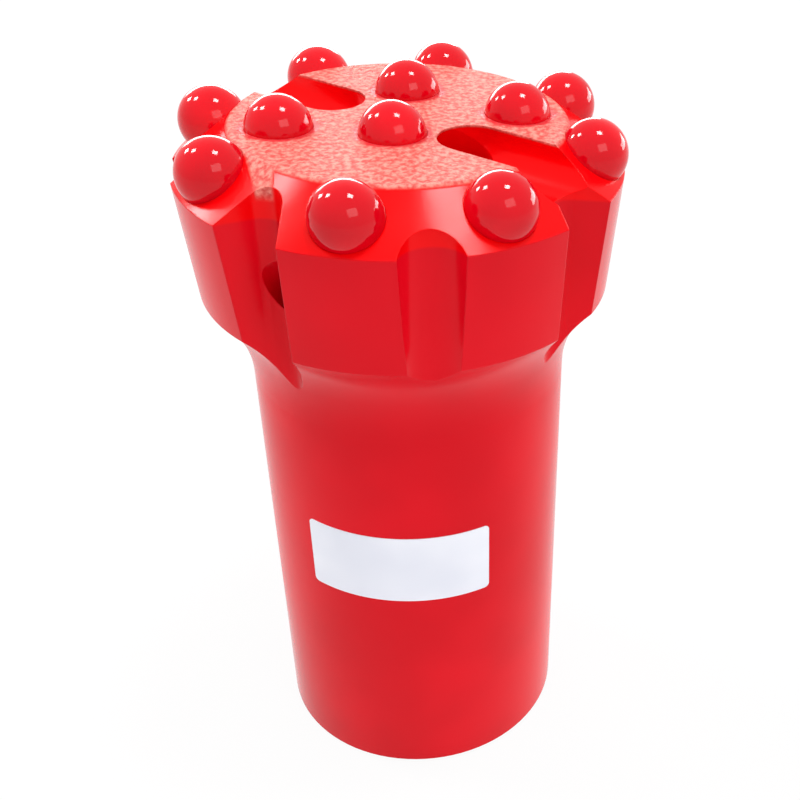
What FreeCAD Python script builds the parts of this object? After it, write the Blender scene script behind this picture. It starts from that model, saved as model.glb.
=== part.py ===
"""Threaded button drill bit, 89 mm gauge, as a parametric FreeCAD document (millimetres).

The bit stands on the rim of its skirt: +Z is the bit axis, the origin is the centre of the rim,
and -Y runs through the middle of one pair of gauge buttons.
Angles round the bit are azimuths in degrees, counted anticlockwise from +X.
"""
import math
import os

import FreeCAD, Part
import Sketcher
from FreeCAD import Placement, Rotation, Vector

SIZES = {
    # skirt, from the rim upwards
    "skirt_radius": 33.25,
    "rim_chamfer": 0.6,
    "guide_radius": 23.9,
    "guide_depth": 12.0,
    "socket_radius": 22.7,
    "socket_depth": 86.0,
    "chamber_radius": 9.0,
    "chamber_top": 108.0,
    "chamber_tip_angle": 59.0,
    # head
    "face_height": 148.8,
    "bevel_drop": 8.3,
    "bevel_angle": 35.0,
    "land_top_radius": 43.9,
    "land_base_height": 116.6,
    "flare_rise": 20.2,
    "flare_radius": 28.3,
    # grooves that carry the cuttings away; a pair of gauge buttons stands between two main ones
    "pair_count": 4,
    "first_pair_azimuth": -90.0,
    "minor_groove_radius": 6.25,
    "minor_groove_floor": 39.05,
    "main_groove_radius": 4.45,
    "main_groove_floor": 35.1,
    "main_groove_flank": 30.0,
    "cut_reach": 52.0,
    # slots across the face, in every second main groove, each with a flushing hole at its inner end
    "slot_count": 2,
    "slot_radius": 6.6,
    "slot_start": 17.0,
    "slot_depth": 8.0,
    "face_hole_radius": 5.9,
    "face_hole_tilt": 15.0,
    "face_hole_start": 16.6,
    "face_hole_overlap": 8.0,
    # flushing holes that open in the floors of the other main grooves
    "side_hole_radius": 3.5,
    "side_hole_tilt": 45.0,
    "side_hole_drop": 21.3,
    "channel_radius": 3.5,
    "channel_floor": 34.6,
    # carbide buttons
    "gauge_button_radius": 6.7,
    "gauge_inset": 6.13,
    "gauge_drop": 3.73,
    "gauge_pair_angle": 20.68,
    "gauge_shank": 10.0,
    "face_button_radius": 6.5,
    "face_button_sink": 0.5,
    "face_shank": 8.0,
    "button_chamfer": 0.9,
    # label round the skirt
    "label_thickness": 0.15,
    "label_height": 17.5,
    "label_middle": 62.2,
    "label_arc": 69.9,
    "label_azimuth": -103.9,
    "label_corner": 1.1,
}

# Centre of each face button, across the face; each one sweeps a ring of its own.
FACE_BUTTONS = {
    "face_button_1": (-22.85, -1.8),
    "face_button_2": (-2.25, -7.6),
    "face_button_3": (3.3, 15.2),
    "face_button_4": (23.0, -0.35),
}

# Formulas that several features share, in the sheet's own names.
NECK_HEIGHT = "(Dim.land_base_height - Dim.flare_rise)"
LAND_TOP_HEIGHT = "(Dim.face_height - Dim.bevel_drop)"
LAND_BASE_RADIUS = (
    "(Dim.skirt_radius + Dim.flare_radius - sqrt(Dim.flare_radius^2 - Dim.flare_rise^2))"
)
FACE_RADIUS = "(Dim.land_top_radius - Dim.bevel_drop / tan(Dim.bevel_angle))"
SLOT_FLOOR = "(Dim.face_height - Dim.slot_depth)"
FACE_HOLE_FOOT = "(Dim.chamber_top - Dim.face_hole_overlap)"
SIDE_HOLE_HEIGHT = "(Dim.face_height - Dim.side_hole_drop)"
GAUGE_RING_RADIUS = "(Dim.land_top_radius - Dim.gauge_inset)"
GAUGE_HEIGHT = "(Dim.face_height - Dim.gauge_drop)"
FACE_BUTTON_HEIGHT = "(Dim.face_height - Dim.face_button_sink)"
MAIN_GROOVE = "(Dim.first_pair_azimuth + 180 / Dim.pair_count)"
SIDE_HOLE_GROOVE = f"({MAIN_GROOVE} + 360 / Dim.pair_count)"


def make_sheet(doc):
    """Write every driving size into the spreadsheet, one named cell each."""
    sheet = doc.addObject("Spreadsheet::Sheet", "Dim")
    sheet.Label = "Dim"
    named = dict(SIZES)
    for name, (across, along) in FACE_BUTTONS.items():
        named[f"{name}_across"] = across
        named[f"{name}_along"] = along
    for row, (name, value) in enumerate(named.items(), start=1):
        sheet.set(f"A{row}", name)
        sheet.set(f"B{row}", str(value))
        sheet.setAlias(f"B{row}", name)
    doc.recompute()
    return sheet


def size_of(doc, formula):
    """Value of a formula written in the sheet's names."""
    value = doc.Dim.evalExpression(formula)
    return float(getattr(value, "Value", value))


def origin_feature(body, role):
    """Plane or axis of a body's own origin."""
    return next(item for item in body.Origin.OriginFeatures if item.Role == role)


def new_sketch(body, name, role, azimuth="0", outward="0", height="0"):
    """Sketch on an origin plane, turned about the bit axis and moved outward and up.

    On XZ_Plane the sketch's x is the radius and its y the height, on XY_Plane its x is the
    radius, and YZ_Plane faces outward, with y the height.
    """
    sketch = body.newObject("Sketcher::SketchObject", name)
    sketch.AttachmentSupport = [(origin_feature(body, role), "")]
    sketch.MapMode = "FlatFace"
    turn_axis = "0; 0; 1" if role == "XY_Plane" else "0; 1; 0"
    move = {
        "XY_Plane": f"0; 0; {height}",
        "XZ_Plane": "0; 0; 0",
        "YZ_Plane": f"({outward}) * sin({azimuth}); 0; ({outward}) * cos({azimuth})",
    }[role]
    sketch.setExpression(
        "AttachmentOffset",
        f"create(<<placement>>; create(<<vector>>; {move});"
        f" create(<<rotation>>; create(<<vector>>; {turn_axis}); {azimuth}))",
    )
    return sketch


def pin_point(sketch, geometry, point, corner):
    """Hold one point of a sketch at a pair of formulas, measured from the sketch's origin."""
    for kind, axis, formula in (("DistanceX", -2, corner[0]), ("DistanceY", -1, corner[1])):
        if formula == "0":
            sketch.addConstraint(Sketcher.Constraint("PointOnObject", geometry, point, axis))
            continue
        value = size_of(sketch.Document, formula)
        held = sketch.addConstraint(Sketcher.Constraint(kind, -1, 1, geometry, point, value))
        sketch.setExpression(f"Constraints[{held}]", formula)


def anticlockwise_arc(start, middle, finish, forward):
    """Arc through three points, stored anticlockwise as sketches keep their arcs."""
    circle = Part.Arc(start, middle, finish).toShape().Curve
    spokes = [point - circle.Center for point in (start, finish)]
    angles = [math.atan2(spoke.y, spoke.x) for spoke in spokes]
    if not forward:
        angles.reverse()
    whole = Part.Circle(circle.Center, Vector(0, 0, 1), circle.Radius)
    return Part.ArcOfCircle(whole, *angles)


def draw_outline(sketch, corners, arcs=None):
    """Closed outline through the corners, each a pair of formulas.

    arcs maps the number of a side to (formula of its radius, middle of the arc as a pair of
    formulas): the middle only tells which way the side bulges.
    """
    doc = sketch.Document
    arcs = arcs or {}
    points = [Vector(size_of(doc, x), size_of(doc, y), 0) for x, y in corners]
    ends = []
    for side, start in enumerate(points):
        finish = points[(side + 1) % len(points)]
        if side not in arcs:
            sketch.addGeometry(Part.LineSegment(start, finish), False)
            ends.append((1, 2))
            continue
        middle = Vector(*(size_of(doc, formula) for formula in arcs[side][1]), 0)
        anticlockwise = (middle - start).cross(finish - middle).z > 0
        sketch.addGeometry(anticlockwise_arc(start, middle, finish, anticlockwise), False)
        ends.append((1, 2) if anticlockwise else (2, 1))
    for side, (first, last) in enumerate(ends):
        after = (side + 1) % len(points)
        sketch.addConstraint(Sketcher.Constraint("Coincident", side, last, after, ends[after][0]))
        pin_point(sketch, side, first, corners[side])
        if side in arcs:
            radius = size_of(doc, arcs[side][0])
            held = sketch.addConstraint(Sketcher.Constraint("Radius", side, radius))
            sketch.setExpression(f"Constraints[{held}]", arcs[side][0])


def draw_round_groove(sketch, floor, radius):
    """Outline of a groove seen along its length: open outward, its floor a half circle."""
    middle = f"{floor} + {radius}"
    diagonal = (f"{middle} - {radius} * cos(45)", f"{radius} * sin(45)")
    draw_outline(
        sketch,
        [("Dim.cut_reach", radius), (middle, radius), (floor, "0"), (middle, f"-{radius}"),
         ("Dim.cut_reach", f"-{radius}")],
        {1: (radius, diagonal), 2: (radius, (diagonal[0], f"-{diagonal[1]}"))},
    )


def draw_axis(sketch, start, finish):
    """Construction line that a cut turns about."""
    doc = sketch.Document
    points = [Vector(size_of(doc, x), size_of(doc, y), 0) for x, y in (start, finish)]
    line = sketch.addGeometry(Part.LineSegment(*points), True)
    pin_point(sketch, line, 1, start)
    pin_point(sketch, line, 2, finish)


def turn(body, kind, name, sketch, axis="V_Axis", angle="360"):
    """Revolution or Groove of a sketch about its own axis."""
    feature = body.newObject(f"PartDesign::{kind}", name)
    feature.Profile = sketch
    feature.ReferenceAxis = (sketch, [axis])
    feature.Midplane = angle != "360"
    feature.setExpression("Angle", angle)
    return feature


def cut_through(body, name, sketch, outward=False):
    """Pocket through everything on the near side of its sketch."""
    feature = body.newObject("PartDesign::Pocket", name)
    feature.Profile = sketch
    feature.Type = "ThroughAll"
    feature.Reversed = outward
    return feature


def ring(body, name, features, count):
    """Repeat features round the bit axis and make the ring the body's tip."""
    pattern = body.newObject("PartDesign::PolarPattern", name)
    pattern.Originals = features
    pattern.Axis = (origin_feature(body, "Z_Axis"), [""])
    pattern.Angle = 360
    pattern.setExpression("Occurrences", count)
    body.Tip = pattern
    return pattern


def drill(body, name, azimuth, foot, tilt, radius, depth, reach):
    """Round flat-bottomed hole whose axis lies in a plane through the bit axis.

    foot is (radius, height) of a point on the hole's axis; the hole runs depth below that point
    and reach above it, and leans outward by tilt.
    """
    sketch = new_sketch(body, f"{name}_sketch", "XZ_Plane", azimuth)

    def place(along, off):
        """Point at a distance along the hole and off its axis."""
        return (
            f"({foot[0]}) + ({along}) * sin({tilt}) + ({off}) * cos({tilt})",
            f"({foot[1]}) + ({along}) * cos({tilt}) - ({off}) * sin({tilt})",
        )

    corners = [
        place(f"-({depth})", "0"),
        place(f"-({depth})", radius),
        place(reach, radius),
        place(reach, "0"),
    ]
    draw_outline(sketch, corners)
    draw_axis(sketch, corners[0], corners[3])
    return turn(body, "Groove", name, sketch, "Axis0")


def turned_blank(body):
    """Skirt, flared neck, head and stepped socket, as one turned profile."""
    sketch = new_sketch(body, "blank_sketch", "XZ_Plane")
    rim = "Dim.rim_chamfer"
    flare_middle = "(Dim.land_base_height - Dim.flare_rise / 2)"
    chamber_tip = "Dim.chamber_top + Dim.chamber_radius / tan(Dim.chamber_tip_angle)"
    outer = [
        (f"Dim.guide_radius + {rim}", "0"),
        (f"Dim.skirt_radius - {rim}", "0"),
        ("Dim.skirt_radius", rim),
        ("Dim.skirt_radius", NECK_HEIGHT),
        (LAND_BASE_RADIUS, "Dim.land_base_height"),
        ("Dim.land_top_radius", LAND_TOP_HEIGHT),
        (FACE_RADIUS, "Dim.face_height"),
        ("0", "Dim.face_height"),
    ]
    inner = [
        ("0", chamber_tip),
        ("Dim.chamber_radius", "Dim.chamber_top"),
        ("Dim.chamber_radius", "Dim.socket_depth"),
        ("Dim.socket_radius", "Dim.socket_depth"),
        ("Dim.socket_radius", "Dim.guide_depth + Dim.guide_radius - Dim.socket_radius"),
        ("Dim.guide_radius", "Dim.guide_depth"),
        ("Dim.guide_radius", rim),
    ]
    bulge = (
        "Dim.skirt_radius + Dim.flare_radius"
        " - sqrt(Dim.flare_radius^2 - (Dim.flare_rise / 2)^2)",
        flare_middle,
    )
    draw_outline(sketch, outer + inner, {3: ("Dim.flare_radius", bulge)})
    return turn(body, "Revolution", "blank", sketch)


def groove_ring(body):
    """Round minor grooves inside the button pairs and V-shaped main grooves between the pairs."""
    minor = new_sketch(body, "minor_groove_sketch", "XY_Plane", "Dim.first_pair_azimuth")
    draw_round_groove(minor, "Dim.minor_groove_floor", "Dim.minor_groove_radius")
    main = new_sketch(body, "main_groove_sketch", "XY_Plane", MAIN_GROOVE)
    radius, flank = "Dim.main_groove_radius", "Dim.main_groove_flank"
    centre = f"(Dim.main_groove_floor + {radius})"
    tangent = (f"{centre} - {radius} * sin({flank})", f"{radius} * cos({flank})")
    mouth = f"({radius} / cos({flank}) + (Dim.cut_reach - {centre}) * tan({flank}))"
    draw_outline(
        main,
        [("Dim.cut_reach", mouth), tangent, (tangent[0], f"-{tangent[1]}"), ("Dim.cut_reach", f"-{mouth}")],
        {1: (radius, ("Dim.main_groove_floor", "0"))},
    )
    cuts = []
    for name, sketch in (("minor_groove", minor), ("main_groove", main)):
        cut = cut_through(body, name, sketch, outward=True)
        cuts.append(cut)
    ring(body, "groove_ring", cuts, "Dim.pair_count")


def face_slots(body):
    """Ball-ended slots from the flushing holes out to the main grooves."""
    crown = f"{SLOT_FLOOR} + Dim.slot_radius"
    above = "Dim.face_height + Dim.slot_radius"
    half = "Dim.slot_radius"
    end = new_sketch(body, "slot_end_sketch", "XZ_Plane", MAIN_GROOVE)
    draw_outline(
        end,
        [("Dim.slot_start", SLOT_FLOOR), (f"Dim.slot_start + {half}", crown),
         (f"Dim.slot_start + {half}", above), ("Dim.slot_start", above)],
        {0: (half, (f"Dim.slot_start + {half} * sin(45)", f"{crown} - {half} * cos(45)"))},
    )
    draw_axis(end, ("Dim.slot_start", SLOT_FLOOR), ("Dim.slot_start", above))
    slot_end = turn(body, "Groove", "slot_end", end, "Axis0")
    run = new_sketch(body, "slot_sketch", "YZ_Plane", MAIN_GROOVE, "Dim.slot_start")
    diagonal = (f"{half} * sin(45)", f"{crown} - {half} * cos(45)")
    draw_outline(
        run,
        [(f"-{half}", above), (f"-{half}", crown), ("0", SLOT_FLOOR), (half, crown),
         (half, above)],
        {1: (half, (f"-{diagonal[0]}", diagonal[1])), 2: (half, diagonal)},
    )
    slot = cut_through(body, "slot", run, outward=True)
    hole = drill(
        body, "face_hole", MAIN_GROOVE,
        (f"Dim.face_hole_start - (Dim.face_height - {FACE_HOLE_FOOT}) * tan(Dim.face_hole_tilt)",
         FACE_HOLE_FOOT),
        "Dim.face_hole_tilt", "Dim.face_hole_radius", "0", f"Dim.face_height - {FACE_HOLE_FOOT}",
    )
    ring(body, "slot_ring", [slot_end, slot, hole], "Dim.slot_count")


def side_holes(body):
    """Slanting flushing holes in the other main grooves, with a channel below each."""
    inward = "(Dim.main_groove_floor - Dim.chamber_radius / 2) / sin(Dim.side_hole_tilt)"
    hole = drill(
        body, "side_hole", SIDE_HOLE_GROOVE, ("Dim.main_groove_floor", SIDE_HOLE_HEIGHT),
        "Dim.side_hole_tilt", "Dim.side_hole_radius", inward, "2 * Dim.side_hole_radius",
    )
    sketch = new_sketch(
        body, "channel_sketch", "XY_Plane", SIDE_HOLE_GROOVE, height=SIDE_HOLE_HEIGHT
    )
    draw_round_groove(sketch, "Dim.channel_floor", "Dim.channel_radius")
    channel = cut_through(body, "channel", sketch)
    ring(body, "side_hole_ring", [hole, channel], "Dim.slot_count")


def button_seats(body):
    """Drilled seats that the carbide buttons are pressed into."""
    seats = [
        drill(
            body, f"gauge_seat_{word}", f"(Dim.first_pair_azimuth {sign} Dim.gauge_pair_angle)",
            (GAUGE_RING_RADIUS, GAUGE_HEIGHT), "Dim.bevel_angle",
            "Dim.gauge_button_radius", "Dim.gauge_shank", "Dim.gauge_button_radius",
        )
        for word, sign in (("left", "-"), ("right", "+"))
    ]
    ring(body, "gauge_seat_ring", seats, "Dim.pair_count")
    bottom = f"({FACE_BUTTON_HEIGHT} - Dim.face_shank)"
    sketch = new_sketch(body, "face_seat_sketch", "XY_Plane", height=bottom)
    for number, name in enumerate(FACE_BUTTONS):
        centre = (f"Dim.{name}_across", f"Dim.{name}_along")
        middle = Vector(*(size_of(body.Document, formula) for formula in centre), 0)
        radius = size_of(body.Document, "Dim.face_button_radius")
        sketch.addGeometry(Part.Circle(middle, Vector(0, 0, 1), radius), False)
        pin_point(sketch, number, 3, centre)
        held = sketch.addConstraint(Sketcher.Constraint("Radius", number, radius))
        sketch.setExpression(f"Constraints[{held}]", "Dim.face_button_radius")
    body.Tip = cut_through(body, "face_seats", sketch, outward=True)


def make_bit_body(doc):
    """The forged and machined steel body: skirt, neck and head in one piece."""
    body = doc.addObject("PartDesign::Body", "bit_body")
    turned_blank(body)
    groove_ring(body)
    face_slots(body)
    side_holes(body)
    button_seats(body)
    return body


def make_button(doc, name, radius, shank, spot, azimuth="0", tilt="0"):
    """Carbide button: a half-ball dome on a chamfered shank, its dome centre at the spot."""
    body = doc.addObject("PartDesign::Body", name)
    sketch = new_sketch(body, f"{name}_sketch", "XZ_Plane")
    corners = [
        ("0", f"-{shank}"),
        (f"{radius} - Dim.button_chamfer", f"-{shank}"),
        (radius, f"Dim.button_chamfer - {shank}"),
        (radius, "0"),
        ("0", radius),
    ]
    draw_outline(sketch, corners, {3: (radius, (f"{radius} * cos(45)", f"{radius} * sin(45)"))})
    turn(body, "Revolution", f"{name}_turned", sketch)
    body.setExpression(
        "Placement",
        f"create(<<placement>>; create(<<vector>>; {'; '.join(spot)});"
        f" create(<<rotation>>; create(<<vector>>; -sin({azimuth}); cos({azimuth}); 0); {tilt}))",
    )
    return body


def make_gauge_buttons(doc):
    """Pairs of leaning buttons round the bevel, numbered clockwise from the front pair."""
    buttons = []
    pairs = int(size_of(doc, "Dim.pair_count"))
    for number in range(2 * pairs):
        pair, sign = divmod(number, 2)
        side = "+-"[sign]
        azimuth = f"(Dim.first_pair_azimuth - {pair} * 360 / Dim.pair_count {side} Dim.gauge_pair_angle)"
        spot = (
            f"{GAUGE_RING_RADIUS} * cos({azimuth})",
            f"{GAUGE_RING_RADIUS} * sin({azimuth})",
            GAUGE_HEIGHT,
        )
        buttons.append(make_button(
            doc, f"gauge_button_{number + 1}", "Dim.gauge_button_radius", "Dim.gauge_shank",
            spot, azimuth, "Dim.bevel_angle",
        ))
    return buttons


def make_face_buttons(doc):
    """Upright buttons on the face."""
    return [
        make_button(
            doc, name, "Dim.face_button_radius", "Dim.face_shank",
            (f"Dim.{name}_across", f"Dim.{name}_along", FACE_BUTTON_HEIGHT),
        )
        for name in FACE_BUTTONS
    ]


def make_label(doc):
    """Thin blank label that wraps part of the skirt, with rounded corners."""
    body = doc.addObject("PartDesign::Body", "label")
    sketch = new_sketch(body, "label_sketch", "XZ_Plane", "Dim.label_azimuth")
    low = "Dim.label_middle - Dim.label_height / 2"
    high = "Dim.label_middle + Dim.label_height / 2"
    outer = "Dim.skirt_radius + Dim.label_thickness"
    draw_outline(
        sketch, [("Dim.skirt_radius", low), (outer, low), (outer, high), ("Dim.skirt_radius", high)]
    )
    band = turn(body, "Revolution", "label_band", sketch, angle="Dim.label_arc")
    doc.recompute()
    thickness = size_of(doc, "Dim.label_thickness")
    corners = [
        f"Edge{number}" for number, edge in enumerate(band.Shape.Edges, start=1)
        if edge.Length < 1.01 * thickness
    ]
    rounding = body.newObject("PartDesign::Fillet", "label_corners")
    rounding.Base = (band, corners)
    rounding.setExpression("Radius", "Dim.label_corner")
    body.Tip = rounding
    return body


def check(doc, pieces):
    """Stop when an object failed to compute or a piece isn't one valid solid."""
    for item in doc.Objects:
        if {"Invalid", "Error"} & set(item.State):
            raise RuntimeError(f"{item.Name} failed: {item.State}")
    for piece in pieces:
        shape = piece.Shape
        if shape.isNull() or not shape.isValid() or len(shape.Solids) != 1:
            raise RuntimeError(f"{piece.Label} has no valid single solid")


def main():
    """Build the document, check it and write one STEP file for each piece."""
    doc = FreeCAD.newDocument("button_bit")
    make_sheet(doc)
    pieces = [make_bit_body(doc), *make_gauge_buttons(doc), *make_face_buttons(doc), make_label(doc)]
    doc.recompute()
    check(doc, pieces)
    os.makedirs("parts", exist_ok=True)
    for piece in pieces:
        piece.Shape.exportStep(f"parts/{piece.Label}.step")
        print(f"{piece.Label}: {piece.Shape.Volume / 1000:.3f} cm3")


main()
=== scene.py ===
"""Looks of a painted, threaded button drill bit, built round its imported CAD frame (metres).

The bit stands on the rim of its skirt. +Z is the bit axis, the origin is the centre of the rim and
-Y runs through the middle of the front pair of gauge buttons. Azimuths are degrees from +X,
anticlockwise. New meshes are surfaces computed with numpy; finishes are procedural materials.
"""
import logging
import math
from dataclasses import dataclass, field
from enum import Enum

import bpy
import numpy as np
from mathutils import Matrix, Vector


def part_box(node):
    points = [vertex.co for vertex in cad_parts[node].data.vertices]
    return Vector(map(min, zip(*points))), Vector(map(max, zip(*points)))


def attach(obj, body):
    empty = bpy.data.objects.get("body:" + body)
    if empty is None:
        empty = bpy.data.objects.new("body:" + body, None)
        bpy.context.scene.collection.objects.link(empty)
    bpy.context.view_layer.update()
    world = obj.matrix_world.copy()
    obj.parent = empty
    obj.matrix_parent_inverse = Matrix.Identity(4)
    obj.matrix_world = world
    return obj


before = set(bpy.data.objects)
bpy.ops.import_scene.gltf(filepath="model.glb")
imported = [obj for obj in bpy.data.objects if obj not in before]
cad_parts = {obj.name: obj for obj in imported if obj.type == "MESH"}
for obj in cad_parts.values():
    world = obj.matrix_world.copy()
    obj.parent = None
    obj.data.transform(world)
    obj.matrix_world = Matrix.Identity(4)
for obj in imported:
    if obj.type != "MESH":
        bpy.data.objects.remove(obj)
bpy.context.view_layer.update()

MM = 0.001
EDGE_SAMPLES = 6
CLOUD_SPAN = (0.3, 0.7)
PEEL_SPAN = (0.3, 0.7)
log = logging.getLogger("button_bit")

Colour = tuple[float, float, float, float]


def srgb(red: int, green: int, blue: int) -> Colour:
    """Linear colour with full alpha from 0 to 255 display values.

    Args:
        red: Red display value.
        green: Green display value.
        blue: Blue display value.

    Returns:
        The same colour in the renderer's linear values.
    """
    def linear(value: int) -> float:
        """Display curve undone: a power law of 2.4 above a short straight part."""
        share = value / 255
        return share / 12.92 if share <= 0.04045 else ((share + 0.055) / 1.055) ** 2.4

    return (linear(red), linear(green), linear(blue), 1.0)


class Turn(Enum):
    """Which way a screw thread winds."""

    LEFT_HAND = -1
    RIGHT_HAND = 1


# ---------------------------------------------------------------- shader helpers

class Wiring:
    """Nodes of one tree, and short calls that add and join them."""

    def __init__(self, tree: bpy.types.NodeTree) -> None:
        """Keep the tree that the calls work on."""
        self.tree = tree

    def node(self, kind: str, **values: object) -> bpy.types.Node:
        """Add a node and set its properties.

        Args:
            kind: Name of the node type.
            **values: Properties of the node, by name.

        Returns:
            The new node.
        """
        made = self.tree.nodes.new(kind)
        for name, value in values.items():
            setattr(made, name, value)
        return made

    def feed(self, socket: bpy.types.NodeSocket, source: object) -> None:
        """Link a socket to another one, or set its own value.

        Args:
            socket: The input that is fed.
            source: An output socket, a number, or a tuple.
        """
        if isinstance(source, bpy.types.NodeSocket):
            self.tree.links.new(source, socket)
        else:
            socket.default_value = source

    def math(self, operation: str, first: object, second: object = 0.0) -> bpy.types.NodeSocket:
        """Add a Math node on one or two values.

        Args:
            operation: Name of the operation.
            first: First number or socket.
            second: Second number or socket, where the operation has one.

        Returns:
            The result.
        """
        made = self.node("ShaderNodeMath", operation=operation)
        self.feed(made.inputs[0], first)
        self.feed(made.inputs[1], second)
        return made.outputs[0]

    def ramp(self, value: object, low: object, high: object,
             out_low: object = 0.0, out_high: object = 1.0) -> bpy.types.NodeSocket:
        """Carry a value smoothly from one range to another, held at its ends.

        Args:
            value: The value.
            low: Value at which the result is out_low.
            high: Value at which the result is out_high.
            out_low: First end of the result.
            out_high: Second end of the result.

        Returns:
            The result.
        """
        made = self.node("ShaderNodeMapRange", interpolation_type="SMOOTHSTEP")
        for name, part in (("Value", value), ("From Min", low), ("From Max", high),
                           ("To Min", out_low), ("To Max", out_high)):
            self.feed(made.inputs[name], part)
        return made.outputs["Result"]

    def mix(self, share: object, first: object, second: object) -> bpy.types.NodeSocket:
        """Blend two colours.

        Args:
            share: Share of the second colour, from 0 to 1.
            first: First colour.
            second: Second colour.

        Returns:
            The blend.
        """
        made = self.node("ShaderNodeMix", data_type="RGBA")
        colours = [s for s in made.inputs if s.type == "RGBA"]
        self.feed(made.inputs["Factor"], share)
        self.feed(colours[0], first)
        self.feed(colours[1], second)
        return next(s for s in made.outputs if s.type == "RGBA")

    def noise(self, place: object, scale: object, detail: float = 2.0,
              roughness: float = 0.5) -> bpy.types.NodeSocket:
        """Add even noise.

        Args:
            place: Vector that the noise follows.
            scale: Cells per metre.
            detail: Number of finer layers.
            roughness: Strength of each finer layer, as a share of the one before.

        Returns:
            Noise from 0 to 1.
        """
        made = self.node("ShaderNodeTexNoise")
        for name, value in (("Vector", place), ("Scale", scale), ("Detail", detail),
                            ("Roughness", roughness)):
            self.feed(made.inputs[name], value)
        return made.outputs["Fac"]

    def here(self) -> bpy.types.NodeSocket:
        """Object coordinates, in metres from the centre of the rim."""
        return self.node("ShaderNodeTexCoord").outputs["Object"]

    def split(self, place: object) -> tuple[bpy.types.NodeSocket, ...]:
        """Take a vector apart into X, Y and Z.

        Args:
            place: The vector.

        Returns:
            Its three parts.
        """
        made = self.node("ShaderNodeSeparateXYZ")
        self.feed(made.inputs[0], place)
        return tuple(made.outputs)


def new_group(name: str, inputs: dict[str, float], outputs: dict[str, str]) -> Wiring:
    """Empty node group with named sockets.

    Args:
        name: The group's name.
        inputs: Default of each number input, by name, after the Place vector.
        outputs: Socket type of each output, by name.

    Returns:
        The wiring of the group's tree.
    """
    tree = bpy.data.node_groups.new(name, "ShaderNodeTree")
    tree.interface.new_socket("Place", in_out="INPUT", socket_type="NodeSocketVector")
    for title, default in inputs.items():
        socket = tree.interface.new_socket(title, in_out="INPUT", socket_type="NodeSocketFloat")
        socket.default_value = default
    for title, kind in outputs.items():
        tree.interface.new_socket(title, in_out="OUTPUT", socket_type=kind)
    return Wiring(tree)


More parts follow.
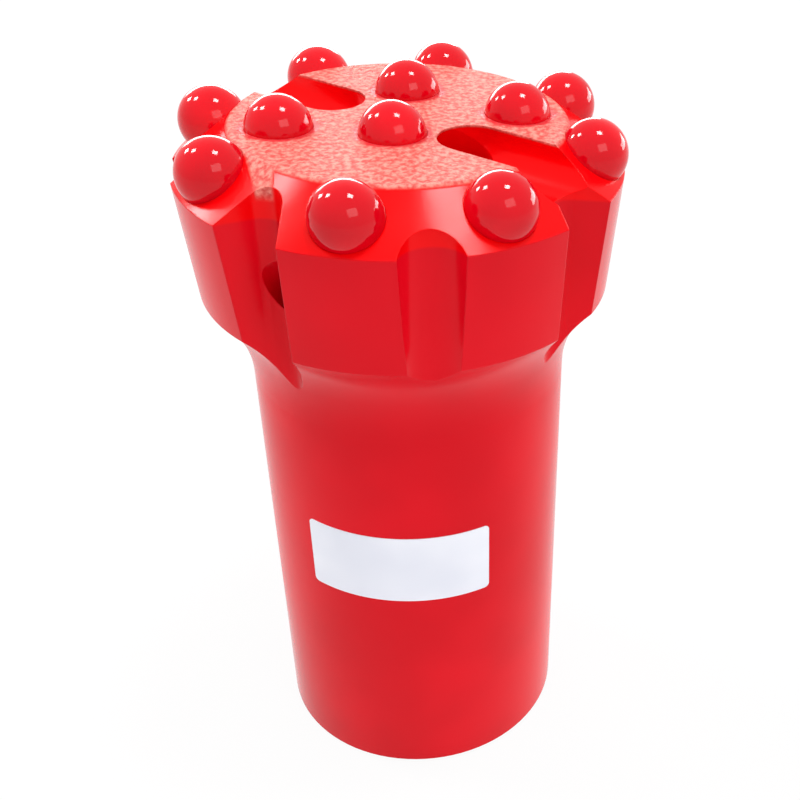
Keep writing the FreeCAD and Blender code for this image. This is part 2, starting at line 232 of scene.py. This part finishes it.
class Effects:
    """Shader effects that several finishes share, each built once as a node group."""

    def __init__(self) -> None:
        """Build the groups."""
        self.flow = self._paint_flow()
        self.grain = self._forged_grain()
        self.halo = self._button_halo()

    @staticmethod
    def _paint_flow() -> bpy.types.NodeTree:
        """Slow unevenness of sprayed paint: broad clouds, fine orange peel and dust nibs.

        Returns:
            The group.
        """
        nib_scale, nib_core, nib_edge = 260.0, 0.05, 0.09
        patch_scale, patch_low, patch_high = 90.0, 0.62, 0.7
        w = new_group("paint_flow", {"Cloud Scale": 30.0, "Peel Scale": 500.0},
                      {"Cloud": "NodeSocketFloat", "Peel": "NodeSocketFloat",
                       "Nibs": "NodeSocketFloat"})
        inlet = w.node("NodeGroupInput")
        outlet = w.node("NodeGroupOutput")
        spot = inlet.outputs["Place"]
        nib = w.node("ShaderNodeTexVoronoi")
        w.feed(nib.inputs["Vector"], spot)
        w.feed(nib.inputs["Scale"], nib_scale)
        specks = w.ramp(nib.outputs["Distance"], nib_core, nib_edge, 1.0, 0.0)
        rare = w.ramp(w.noise(spot, patch_scale), patch_low, patch_high)
        w.feed(outlet.inputs["Cloud"], w.noise(spot, inlet.outputs["Cloud Scale"]))
        w.feed(outlet.inputs["Peel"], w.noise(spot, inlet.outputs["Peel Scale"], detail=1.0))
        w.feed(outlet.inputs["Nibs"], w.math("MULTIPLY", specks, rare))
        return w.tree

    @staticmethod
    def _forged_grain() -> bpy.types.NodeTree:
        """As-forged skin under thin paint: rounded grains of about 1 mm with finer ones on them.

        Returns:
            The group.
        """
        cell_share, tint_low, tint_high = 0.35, 0.35, 0.68
        w = new_group("forged_grain", {"Scale": 650.0},
                      {"Height": "NodeSocketFloat", "Tint": "NodeSocketFloat"})
        inlet = w.node("NodeGroupInput")
        outlet = w.node("NodeGroupOutput")
        coarse = w.noise(inlet.outputs["Place"], inlet.outputs["Scale"], detail=3.0, roughness=0.6)
        cells = w.node("ShaderNodeTexVoronoi", feature="SMOOTH_F1")
        w.feed(cells.inputs["Vector"], inlet.outputs["Place"])
        w.feed(cells.inputs["Scale"], inlet.outputs["Scale"])
        dents = w.math("MULTIPLY", cells.outputs["Distance"], cell_share)
        w.feed(outlet.inputs["Height"], w.math("SUBTRACT", coarse, dents))
        w.feed(outlet.inputs["Tint"], w.ramp(coarse, tint_low, tint_high))
        return w.tree

    @staticmethod
    def _button_halo() -> bpy.types.NodeTree:
        """Ring of smooth paint round a button, its edge broken up by noise; the enamel paints it a
        deeper red, partly real pooled paint and partly a painted reflection of the dome.

        Returns:
            The group.
        """
        ragged_scale, ragged_depth, edge_width = 400.0, 2.2 * MM, 1.2 * MM
        w = new_group("button_halo", {"Centre X": 0.0, "Centre Y": 0.0, "Reach": 0.0085},
                      {"Mask": "NodeSocketFloat"})
        inlet = w.node("NodeGroupInput")
        outlet = w.node("NodeGroupOutput")
        across, along, _ = w.split(inlet.outputs["Place"])
        off_x = w.math("SUBTRACT", across, inlet.outputs["Centre X"])
        off_y = w.math("SUBTRACT", along, inlet.outputs["Centre Y"])
        away = w.math("SQRT", w.math("ADD", w.math("MULTIPLY", off_x, off_x),
                                     w.math("MULTIPLY", off_y, off_y)))
        rough_edge = w.math("MULTIPLY", w.noise(inlet.outputs["Place"], ragged_scale),
                            ragged_depth)
        ragged = w.math("ADD", away, rough_edge)
        inner = w.math("SUBTRACT", inlet.outputs["Reach"], edge_width)
        w.feed(outlet.inputs["Mask"], w.ramp(ragged, inner, inlet.outputs["Reach"], 1.0, 0.0))
        return w.tree

    def place(self, w: Wiring, tree: bpy.types.NodeTree, place: object,
              **values: float) -> bpy.types.Node:
        """Put a group into a material.

        Args:
            w: Wiring of the material.
            tree: The group.
            place: Vector that the effect follows.
            **values: Inputs of the group, with _ for each space in a name.

        Returns:
            The group's node.
        """
        made = w.node("ShaderNodeGroup", node_tree=tree)
        w.feed(made.inputs["Place"], place)
        for name, value in values.items():
            made.inputs[name.replace("_", " ").title()].default_value = value
        return made


def new_material(name: str) -> tuple[bpy.types.Material, Wiring, bpy.types.Node]:
    """Material with an empty tree, one Principled shader and its output.

    Args:
        name: The material's name.

    Returns:
        The material, its wiring and its shader.
    """
    made = bpy.data.materials.new(name)
    made.use_nodes = True
    made.node_tree.nodes.clear()
    w = Wiring(made.node_tree)
    shader = w.node("ShaderNodeBsdfPrincipled")
    outlet = w.node("ShaderNodeOutputMaterial")
    w.feed(outlet.inputs["Surface"], shader.outputs["BSDF"])
    return made, w, shader


def bump(w: Wiring, shader: bpy.types.Node, height: object, depth: float,
         edge_radius: float = 0.0) -> None:
    """Wire a height into the shader's normal.

    Args:
        w: Wiring of the material.
        shader: The Principled shader.
        height: Height from 0 to 1.
        depth: Metres that a height of 1 stands for.
        edge_radius: Radius to which sharp edges look broken, or 0 for none.
    """
    made = w.node("ShaderNodeBump")
    made.inputs["Strength"].default_value = 1.0
    made.inputs["Distance"].default_value = depth
    w.feed(made.inputs["Height"], height)
    if edge_radius:
        rounded = w.node("ShaderNodeBevel", samples=EDGE_SAMPLES)
        rounded.inputs["Radius"].default_value = edge_radius
        w.feed(made.inputs["Normal"], rounded.outputs["Normal"])
    w.feed(shader.inputs["Normal"], made.outputs["Normal"])


# ---------------------------------------------------------------- finishes

@dataclass(frozen=True)
class BodyPaint:
    """Glossy red enamel on the machined steel, thin and rough over the as-forged face."""

    red: Colour = srgb(220, 5, 26)
    deep_red: Colour = srgb(208, 3, 22)
    # Painted light: a brighter red for the upward-facing gauge bevel, standing in for the light
    # that falls on it.
    lit_bevel_red: Colour = srgb(236, 1, 6)
    face_light: Colour = srgb(238, 146, 132)
    face_dark: Colour = srgb(205, 78, 72)
    # Red of the pooled paint round the face buttons, partly a painted reflection of the dome in
    # it.
    pooled_paint_and_reflection_red: Colour = srgb(212, 34, 46)
    thread_steel: Colour = srgb(120, 116, 112)
    wall_span: tuple[float, float] = (0.35, 0.65)
    gloss: float = 0.15
    gloss_spread: float = 0.08
    specular: float = 0.13
    face_roughness: float = 0.55
    halo_roughness: float = 0.3
    halo_cover: float = 0.85
    halo_smoothing: float = 0.8
    peel_share: float = 0.03
    nib_share: float = 0.05
    grain_depth: float = 0.00035
    face_height: float = 148.8 * MM
    bevel_top: float = 148.2 * MM
    bevel_foot: float = 140.5 * MM
    socket_radius: float = 24.6 * MM
    socket_depth: float = 86.5 * MM
    halo_reach: float = 9.2 * MM
    edge_radius: float = 0.35 * MM
    tongue_azimuth: float = -135.0
    tongue_start: float = 31.5 * MM
    tongue_offset: float = -6.2 * MM
    tongue_half_width: float = 3.7 * MM
    tongue_floor: float = 143.5 * MM
    tongue_taper: float = 0.3
    tongue_edge: tuple[float, float] = (-0.9 * MM, 0.2 * MM)
    tongue_lead: tuple[float, float] = (-4.0 * MM, -2.0 * MM)
    fine_blend: float = 0.2 * MM
    bevel_blend: float = 0.4 * MM
    deep_blend: float = 2.0 * MM
    face_skin: float = 0.1 * MM

    def tongue(self, w: Wiring, across: object, along: object,
               height: object) -> bpy.types.NodeSocket:
        """Mask of the forged skin that runs from the face down into two of the main grooves.

        In words: with p the distance out along the groove and q the distance to its side, both
        mirrored through the axis, the middle of the tongue lies at q = offset + (p - start), and
        its half width shrinks by tongue_taper for each unit of p.

        Args:
            w: Wiring of the material.
            across: X of the place.
            along: Y of the place.
            height: Z of the place.

        Returns:
            The mask.
        """
        turn = math.radians(self.tongue_azimuth)
        out = w.math("ADD", w.math("MULTIPLY", across, math.cos(turn)),
                     w.math("MULTIPLY", along, math.sin(turn)))
        side = w.math("SUBTRACT", w.math("MULTIPLY", along, math.cos(turn)),
                      w.math("MULTIPLY", across, math.sin(turn)))
        side = w.math("MULTIPLY", side, w.math("SIGN", out))
        past = w.math("SUBTRACT", w.math("ABSOLUTE", out), self.tongue_start)
        middle = w.math("ADD", past, self.tongue_offset)
        width = w.math("SUBTRACT", self.tongue_half_width,
                       w.math("MULTIPLY", past, self.tongue_taper))
        gap = w.math("SUBTRACT", w.math("ABSOLUTE", w.math("SUBTRACT", side, middle)), width)
        strip = w.ramp(gap, *self.tongue_edge, 1.0, 0.0)
        near = w.ramp(past, *self.tongue_lead)
        low = w.ramp(height, self.tongue_floor, self.tongue_floor + self.deep_blend)
        return w.math("MULTIPLY", strip, w.math("MULTIPLY", near, low))

    def make(self, effects: Effects) -> bpy.types.Material:
        """Build the material.

        Args:
            effects: The shared effects.

        Returns:
            The enamel, with masks for the forged face, the bevels and the bore.
        """
        made, w, shader = new_material("body_enamel")
        place = w.here()
        across, along, height = w.split(place)
        radius = w.math("SQRT", w.math("ADD", w.math("MULTIPLY", across, across),
                                       w.math("MULTIPLY", along, along)))
        flow = effects.place(w, effects.flow, place, cloud_scale=28.0, peel_scale=420.0)
        grain = effects.place(w, effects.grain, place, scale=900.0)
        face = w.ramp(height, self.bevel_top, self.face_height - self.face_skin)
        face = w.math("MAXIMUM", face, self.tongue(w, across, along, height))
        halo = None
        for name in sorted(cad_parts):
            if name.startswith("face_button"):
                low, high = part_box(name)
                centre = (low + high) / 2
                ring = effects.place(w, effects.halo, place, centre_x=centre.x,
                                     centre_y=centre.y, reach=self.halo_reach).outputs["Mask"]
                halo = ring if halo is None else w.math("MAXIMUM", halo, ring)
        bevel = w.ramp(height, self.bevel_foot - self.bevel_blend,
                       self.bevel_foot + self.bevel_blend)
        within = w.ramp(radius, self.socket_radius, self.socket_radius - self.fine_blend)
        below = w.ramp(height, self.socket_depth + self.deep_blend, self.socket_depth)
        bore = w.math("MULTIPLY", within, below)
        wall = w.mix(w.ramp(flow.outputs["Cloud"], *self.wall_span), self.deep_red, self.red)
        # Painted light: above its foot the bevel gets the brighter red, as if lit from above.
        head = w.mix(bevel, wall, self.lit_bevel_red)
        forged = w.mix(grain.outputs["Tint"], self.face_dark, self.face_light)
        # Ring round each face button: deeper red of pooled paint, partly a painted reflection of
        # the dome.
        forged = w.mix(w.math("MULTIPLY", halo, self.halo_cover), forged, self.pooled_paint_and_reflection_red)
        outside = w.mix(face, head, forged)
        w.feed(shader.inputs["Base Color"], w.mix(bore, outside, self.thread_steel))
        gloss = w.ramp(flow.outputs["Cloud"], *CLOUD_SPAN, self.gloss,
                       self.gloss + self.gloss_spread)
        blend = w.node("ShaderNodeMix", data_type="FLOAT")
        w.feed(blend.inputs[0], face)
        w.feed(blend.inputs[2], gloss)
        w.feed(blend.inputs[3], w.ramp(halo, 0.0, 1.0, self.face_roughness, self.halo_roughness))
        w.feed(shader.inputs["Roughness"], blend.outputs[0])
        smoothed = w.math("MULTIPLY", halo, self.halo_smoothing)
        rough = w.math("MULTIPLY", face, w.math("SUBTRACT", 1.0, smoothed))
        grainy = w.math("MULTIPLY", grain.outputs["Height"], rough)
        peel = w.math("MULTIPLY", flow.outputs["Peel"], self.peel_share)
        nibs = w.math("MULTIPLY", flow.outputs["Nibs"], self.nib_share)
        skin = w.math("ADD", grainy, w.math("ADD", peel, nibs))
        bump(w, shader, skin, self.grain_depth, self.edge_radius)
        shader.inputs["Specular IOR Level"].default_value = self.specular
        return made


@dataclass(frozen=True)
class DomePaint:
    """The same enamel over the polished carbide domes, smoother and glossier."""

    red: Colour = srgb(216, 1, 22)
    deep_red: Colour = srgb(200, 1, 20)
    roughness: float = 0.06
    roughness_spread: float = 0.05
    nib_share: float = 0.6
    peel_depth: float = 0.012 * MM
    specular: float = 0.3

    def make(self, effects: Effects) -> bpy.types.Material:
        """Build the material from the shared paint flow.

        Args:
            effects: The shared effects.

        Returns:
            The material.
        """
        made, w, shader = new_material("dome_enamel")
        flow = effects.place(w, effects.flow, w.here(), cloud_scale=70.0, peel_scale=350.0)
        w.feed(shader.inputs["Base Color"],
               w.mix(w.ramp(flow.outputs["Cloud"], *CLOUD_SPAN), self.deep_red, self.red))
        w.feed(shader.inputs["Roughness"],
               w.ramp(flow.outputs["Cloud"], *CLOUD_SPAN, self.roughness,
                      self.roughness + self.roughness_spread))
        nibs = w.math("MULTIPLY", flow.outputs["Nibs"], self.nib_share)
        bump(w, shader, w.math("ADD", flow.outputs["Peel"], nibs), self.peel_depth)
        shader.inputs["Specular IOR Level"].default_value = self.specular
        return made


@dataclass(frozen=True)
class LabelVinyl:
    """Cool white vinyl sticker, bare, with a faint satin texture."""

    white: Colour = srgb(238, 240, 248)
    shade: Colour = srgb(224, 227, 238)
    satin: tuple[float, float] = (0.38, 0.5)
    peel_depth: float = 0.01 * MM

    def make(self, effects: Effects) -> bpy.types.Material:
        """Build the material from the shared paint flow.

        Args:
            effects: The shared effects.

        Returns:
            The material.
        """
        made, w, shader = new_material("label_vinyl")
        flow = effects.place(w, effects.flow, w.here(), cloud_scale=45.0, peel_scale=1200.0)
        w.feed(shader.inputs["Base Color"],
               w.mix(w.ramp(flow.outputs["Cloud"], *CLOUD_SPAN), self.shade, self.white))
        w.feed(shader.inputs["Roughness"], w.ramp(flow.outputs["Peel"], *PEEL_SPAN, *self.satin))
        bump(w, shader, flow.outputs["Peel"], self.peel_depth)
        return made


@dataclass(frozen=True)
class ThreadSteel:
    """Bare oiled steel of the rope thread, with turning marks along its turns."""

    steel: Colour = srgb(150, 146, 142)
    dark: Colour = srgb(92, 88, 86)
    oily: tuple[float, float] = (0.28, 0.42)
    mark_rate: float = 9000.0
    mark_share: float = 0.5
    mark_depth: float = 0.02 * MM

    def make(self, effects: Effects) -> bpy.types.Material:
        """Build the material from cloudy oil and fine turning marks.

        Args:
            effects: The shared effects.

        Returns:
            The material.
        """
        made, w, shader = new_material("thread_steel")
        place = w.here()
        flow = effects.place(w, effects.flow, place, cloud_scale=60.0, peel_scale=900.0)
        height = w.split(place)[2]
        marks = w.math("SINE", w.math("MULTIPLY", height, self.mark_rate))
        w.feed(shader.inputs["Base Color"],
               w.mix(w.ramp(flow.outputs["Cloud"], *CLOUD_SPAN), self.dark, self.steel))
        w.feed(shader.inputs["Roughness"], w.ramp(flow.outputs["Peel"], *PEEL_SPAN, *self.oily))
        shader.inputs["Metallic"].default_value = 1.0
        bump(w, shader, w.math("MULTIPLY", marks, self.mark_share), self.mark_depth)
        return made


# ---------------------------------------------------------------- meshes

def surface(name: str, points: np.ndarray, close_v: bool = False) -> bpy.types.Object:
    """Mesh of quads over a grid of points.

    The grid's two indices are the surface's parameters u and v: quad (i, j) joins the points
    (i+1, j), (i+1, j+1), (i, j+1) and (i, j), all worked out as whole arrays.

    Args:
        name: The object's name.
        points: Array of shape (rows, columns, 3), in metres.
        close_v: Whether the last column joins the first.

    Returns:
        The linked object, smooth shaded.
    """
    rows, columns = points.shape[:2]
    index = np.arange(rows * columns).reshape(rows, columns)
    if close_v:
        index = np.hstack([index, index[:, :1]])
    quads = np.stack([index[1:, :-1], index[1:, 1:], index[:-1, 1:], index[:-1, :-1]], -1)
    quads = quads.reshape(-1, 4)
    mesh = bpy.data.meshes.new(name)
    mesh.vertices.add(rows * columns)
    mesh.vertices.foreach_set("co", points.reshape(-1).astype(np.float32))
    mesh.loops.add(quads.size)
    mesh.loops.foreach_set("vertex_index", quads.reshape(-1).astype(np.int32))
    mesh.polygons.add(len(quads))
    mesh.polygons.foreach_set("loop_start", np.arange(0, quads.size, 4, dtype=np.int32))
    mesh.polygons.foreach_set("use_smooth", np.ones(len(quads), dtype=bool))
    mesh.update(calc_edges=True)
    mesh.validate()
    made = bpy.data.objects.new(name, mesh)
    bpy.context.scene.collection.objects.link(made)
    return made


@dataclass
class RopeThread:
    """Coarse left-hand rope thread in the skirt's socket."""

    root_radius: float = 22.7 * MM
    depth: float = 1.6 * MM
    skin: float = 0.05 * MM
    pitch: float = 12.7 * MM
    foot: float = 14.2 * MM
    top: float = 82.0 * MM
    run_out: float = 9.0 * MM
    crest_power: float = 1.2
    turn: Turn = Turn.LEFT_HAND
    steps_round: int = 160
    steps_up: int = 220

    def build(self, finish: bpy.types.Material) -> bpy.types.Object:
        """Sleeve whose radius swells inward along a screw line.

        In words: at azimuth a and height z the phase is z / pitch minus the hand times a over a
        full turn; the radius is the root less the depth times a cosine wave of the phase raised
        to round crests, faded to nothing over the run-out at both ends.

        Args:
            finish: Material of the thread.

        Returns:
            The sleeve, riding on the body.
        """
        azimuth = np.linspace(0, 2 * np.pi, self.steps_round, endpoint=False)
        height = np.linspace(self.foot, self.top, self.steps_up)
        z, a = np.meshgrid(height, azimuth, indexing="ij")
        phase = z / self.pitch - self.turn.value * a / (2 * np.pi)
        wave = (0.5 + 0.5 * np.cos(2 * np.pi * phase)) ** self.crest_power
        fade = np.clip((z - self.foot) / self.run_out, 0, 1) * np.clip(
            (self.top - z) / self.run_out, 0, 1)
        radius = self.root_radius - self.skin - self.depth * wave * fade
        points = np.stack([radius * np.cos(a), radius * np.sin(a), z], -1)
        made = surface("rope_thread", points, close_v=True)
        made.data.materials.append(finish)
        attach(made, "root")
        return made


@dataclass
class DrillBit:
    """The solids dressed in their finishes, and the thread cut inside the socket."""

    body: str = "bit_body"
    label: str = "label"
    domes: list[str] = field(default_factory=lambda: [
        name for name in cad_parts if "button" in name])
    thread: RopeThread = field(default_factory=RopeThread)

    def dress(self, effects: Effects) -> list[bpy.types.Object]:
        """Give every node its material and build the thread.

        Args:
            effects: The shared effects.

        Returns:
            The pieces that were dressed or built.
        """
        paint = BodyPaint().make(effects)
        dome = DomePaint().make(effects)
        vinyl = LabelVinyl().make(effects)
        finishes = {self.body: paint, self.label: vinyl} | {name: dome for name in self.domes}
        done = []
        for name, finish in finishes.items():
            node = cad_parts[name]
            node.data.materials.clear()
            node.data.materials.append(finish)
            done.append(node)
        done.append(self.thread.build(ThreadSteel().make(effects)))
        return done


# ---------------------------------------------------------------- studio

@dataclass
class Studio:
    """Pale floor, white surroundings, soft boxes and the camera."""

    floor_size: float = 3.0
    floor_drop: float = 0.2 * MM
    floor_shade: Colour = (0.7, 0.7, 0.7, 1.0)
    floor_roughness: float = 0.9
    floor_glow: float = 0.93
    room_low: float = 0.2
    room_high: float = 1.25
    room_front: tuple[float, float, float] = (0.1, -0.55, 0.83)
    room_span: tuple[float, float] = (-0.3, 1.0)
    lamps: tuple[tuple, ...] = (
        ("rear_box", (-0.05, 1.0, 0.3), (0.9, 0.26), 6.0),
        ("right_box", (0.95, 0.38, 0.24), (0.6, 0.24), 3.6),
        ("left_spot", (-0.66, 0.54, 0.61), (0.14, 0.14), 2.2),
        ("upper_left_spot", (-0.55, 0.29, 0.87), (0.16, 0.16), 2.8),
        ("overhead_spot", (0.27, -0.04, 1.25), (0.24, 0.24), 6.0),
        ("front_box", (0.5, -1.3, 1.2), (0.9, 0.7), 5.0))
    aim_height: float = 90.0 * MM
    camera_place: tuple[float, float, float] = (-0.02232, -0.22161, 0.2314)
    camera_right: tuple[float, float, float] = (0.97411, -0.22288, 0.03789)
    camera_up: tuple[float, float, float] = (0.10285, 0.58613, 0.80366)
    camera_back: tuple[float, float, float] = (-0.20133, -0.77896, 0.59388)
    focal: float = 1177.1
    centre: tuple[float, float] = (560.0, 460.0)
    frame_side: float = 800.0
    sensor: float = 36.0
    clip: tuple[float, float] = (0.01, 20.0)

    @staticmethod
    def plainly_seen(w: Wiring) -> bpy.types.NodeSocket:
        """Find the rays that see the plain white background.

        Args:
            w: Wiring of a material or of the world.

        Returns:
            1 for camera, glossy and transmission rays, and 0 for the rest.
        """
        light = w.node("ShaderNodeLightPath")
        return w.math("MAXIMUM", light.outputs["Is Camera Ray"],
                      w.math("MAXIMUM", light.outputs["Is Glossy Ray"],
                             light.outputs["Is Transmission Ray"]))

    def floor(self) -> None:
        """Plain pale floor, a flat grid under the rim, that looks white to the camera."""
        line = np.linspace(-self.floor_size / 2, self.floor_size / 2, 3)
        x, y = np.meshgrid(line, line, indexing="ij")
        made = surface("floor", np.stack([x, y, np.full_like(x, -self.floor_drop)], -1))
        material, w, shader = new_material("floor_paper")
        shader.inputs["Base Color"].default_value = self.floor_shade
        shader.inputs["Roughness"].default_value = self.floor_roughness
        glow = w.node("ShaderNodeEmission")
        glow.inputs["Strength"].default_value = 1.0
        both = w.node("ShaderNodeMixShader")
        outlet = next(n for n in w.tree.nodes if n.type == "OUTPUT_MATERIAL")
        w.feed(both.inputs[0], w.math("MULTIPLY", self.plainly_seen(w), self.floor_glow))
        w.feed(both.inputs[1], shader.outputs["BSDF"])
        w.feed(both.inputs[2], glow.outputs["Emission"])
        w.feed(outlet.inputs["Surface"], both.outputs[0])
        made.data.materials.append(material)

    def surroundings(self) -> None:
        """World that is white to the camera and in reflections, and soft light to the rest."""
        world = bpy.data.worlds.new("white_room")
        bpy.context.scene.world = world
        world.use_nodes = True
        w = Wiring(world.node_tree)
        w.tree.nodes.clear()
        white = w.node("ShaderNodeBackground")
        white.inputs["Strength"].default_value = 1.0
        soft = w.node("ShaderNodeBackground")
        aim = w.node("ShaderNodeVectorMath", operation="DOT_PRODUCT")
        w.feed(aim.inputs[0], w.node("ShaderNodeTexCoord").outputs["Generated"])
        aim.inputs[1].default_value = self.room_front
        w.feed(soft.inputs["Strength"],
               w.ramp(aim.outputs["Value"], *self.room_span, self.room_low, self.room_high))
        both = w.node("ShaderNodeMixShader")
        outlet = w.node("ShaderNodeOutputWorld")
        w.feed(both.inputs[0], self.plainly_seen(w))
        w.feed(both.inputs[1], soft.outputs[0])
        w.feed(both.inputs[2], white.outputs[0])
        w.feed(outlet.inputs["Surface"], both.outputs[0])

    def lamp(self, name: str, place: tuple[float, float, float], size: tuple[float, float],
             power: float) -> None:
        """Soft box aimed at the middle of the bit.

        Args:
            name: The lamp's name.
            place: Where it stands, in metres.
            size: Its width and height, in metres.
            power: Its power, in watts.
        """
        data = bpy.data.lights.new(name, "AREA")
        data.shape = "RECTANGLE"
        data.size, data.size_y = size
        data.energy = power
        made = bpy.data.objects.new(name, data)
        made.location = place
        aim = Vector((0, 0, self.aim_height)) - Vector(place)
        made.rotation_euler = aim.to_track_quat("-Z", "Y").to_euler()
        bpy.context.scene.collection.objects.link(made)

    def camera(self) -> None:
        """Camera in front of the bit and above it, with a small shift."""
        data = bpy.data.cameras.new("camera")
        data.sensor_width = self.sensor
        data.lens = self.focal * self.sensor / self.frame_side
        half = self.frame_side / 2
        data.shift_x = (half - self.centre[0]) / self.frame_side
        data.shift_y = (self.centre[1] - half) / self.frame_side
        data.clip_start, data.clip_end = self.clip
        made = bpy.data.objects.new("camera", data)
        turn = Matrix((self.camera_right, self.camera_up, self.camera_back)).transposed()
        made.matrix_world = Matrix.Translation(self.camera_place) @ turn.to_4x4()
        bpy.context.scene.collection.objects.link(made)
        bpy.context.scene.camera = made

    def set_up(self) -> None:
        """Build the floor, the surroundings, the lamps and the camera."""
        self.floor()
        self.surroundings()
        for lamp in self.lamps:
            self.lamp(*lamp)
        self.camera()
        bpy.context.scene.view_settings.view_transform = "Standard"


def main() -> None:
    """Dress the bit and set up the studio."""
    logging.basicConfig(level=logging.INFO)
    effects = Effects()
    bit = DrillBit()
    for piece in bit.dress(effects):
        log.info("dressed %s with %s", piece.name, piece.data.materials[0].name)
    Studio().set_up()


if __name__ == "__main__":
    main()
